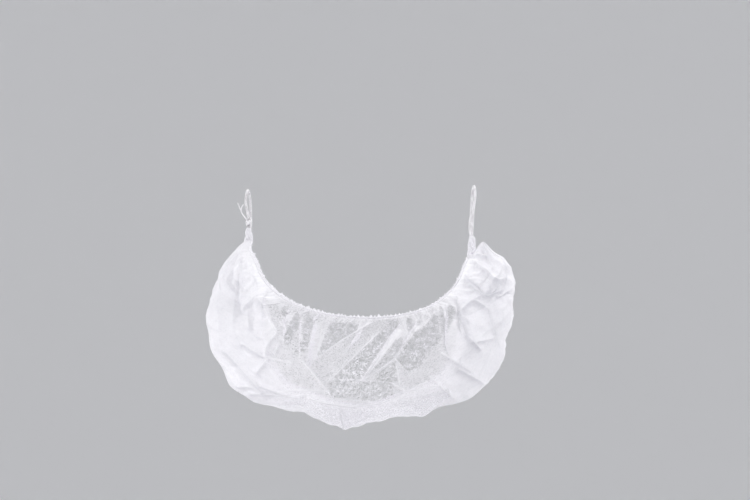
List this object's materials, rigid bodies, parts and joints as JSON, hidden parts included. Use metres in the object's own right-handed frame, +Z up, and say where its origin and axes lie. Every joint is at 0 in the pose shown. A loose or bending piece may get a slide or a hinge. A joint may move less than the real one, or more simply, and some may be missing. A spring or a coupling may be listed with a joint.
{
  "type": "disposable beard net",
  "caption": "Worn pouch of thin gathered nonwoven cloth that covers chin and jaw, with elastic hems and two elastic ear loops.",
  "frame": {"origin": "middle of the face hem, just below the lower lip, where the worn net seats", "axes": "+Z up, -Y the way the face looks, +X to the right as seen from the front"},
  "size_m": [0.2104, 0.1334, 0.1715],
  "materials": {
    "nonwoven": "thin translucent white spunbond cloth, matt with a faint sheen",
    "hem": "bunched white nonwoven cloth, matt",
    "elastic": "twisted white elastic cord, matt"
  },
  "bodies": {
    "root": {"pouch": "nonwoven", "face_hem": "hem", "neck_hem": "hem", "gather_left": "hem", "gather_right": "hem", "knot_left": "elastic", "ear_loop_left": "elastic", "ear_loop_right": "elastic", "tail_left": "elastic", "tail_right": "elastic"}
  },
  "joints": []
}
